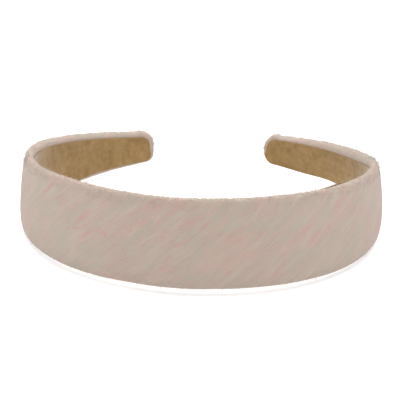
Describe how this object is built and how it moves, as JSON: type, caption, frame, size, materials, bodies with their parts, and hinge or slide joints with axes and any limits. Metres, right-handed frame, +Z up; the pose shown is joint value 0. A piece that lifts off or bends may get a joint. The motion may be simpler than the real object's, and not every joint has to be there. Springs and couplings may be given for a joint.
{
  "type": "headband",
  "caption": "Wide padded fabric headband, a springy U that tapers from a broad crown to rounded tips, with a suede-look lining inside a turned-in cloth border.",
  "frame": {"origin": "centre of the footprint on the surface that the band stands on, on its long edge", "axes": "+X to the viewer's right across the band, +Y from the crown to the tips, +Z up along the band's width"},
  "size_m": [0.1382, 0.1198, 0.0336],
  "materials": {
    "cover_cloth": "matte",
    "lining_suede": "matte",
    "foam": "matte",
    "core_plastic": "satin",
    "adhesive_film": "satin",
    "lining_tape": "matte"
  },
  "bodies": {
    "crown": {"crown_cover": "cover_cloth", "crown_foam": "foam", "crown_foam_adhesive": "adhesive_film", "crown_core": "core_plastic", "crown_hem_adhesive": "adhesive_film", "crown_lining_tape": "lining_tape", "crown_lining": "lining_suede"},
    "left_arm": {"left_arm_cover": "cover_cloth", "left_arm_foam": "foam", "left_arm_foam_adhesive": "adhesive_film", "left_arm_core": "core_plastic", "left_arm_hem_adhesive": "adhesive_film", "left_arm_lining_tape": "lining_tape", "left_arm_lining": "lining_suede"},
    "right_arm": {"right_arm_cover": "cover_cloth", "right_arm_foam": "foam", "right_arm_foam_adhesive": "adhesive_film", "right_arm_core": "core_plastic", "right_arm_hem_adhesive": "adhesive_film", "right_arm_lining_tape": "lining_tape", "right_arm_lining": "lining_suede"}
  },
  "joints": [
    {"name": "left_arm_flex", "type": "hinge", "parent": "crown", "child": "left_arm", "pos_m": [-0.03479, -0.05002, 0.01677], "axis": [0, 0.0707, 0.9975], "range_deg": [0, 18], "stiffness_Nm_per_rad": 0.4},
    {"name": "right_arm_flex", "type": "hinge", "parent": "crown", "child": "right_arm", "pos_m": [0.03479, -0.05002, 0.01677], "axis": [0, -0.0707, -0.9975], "range_deg": [0, 18], "stiffness_Nm_per_rad": 0.4}
  ]
}
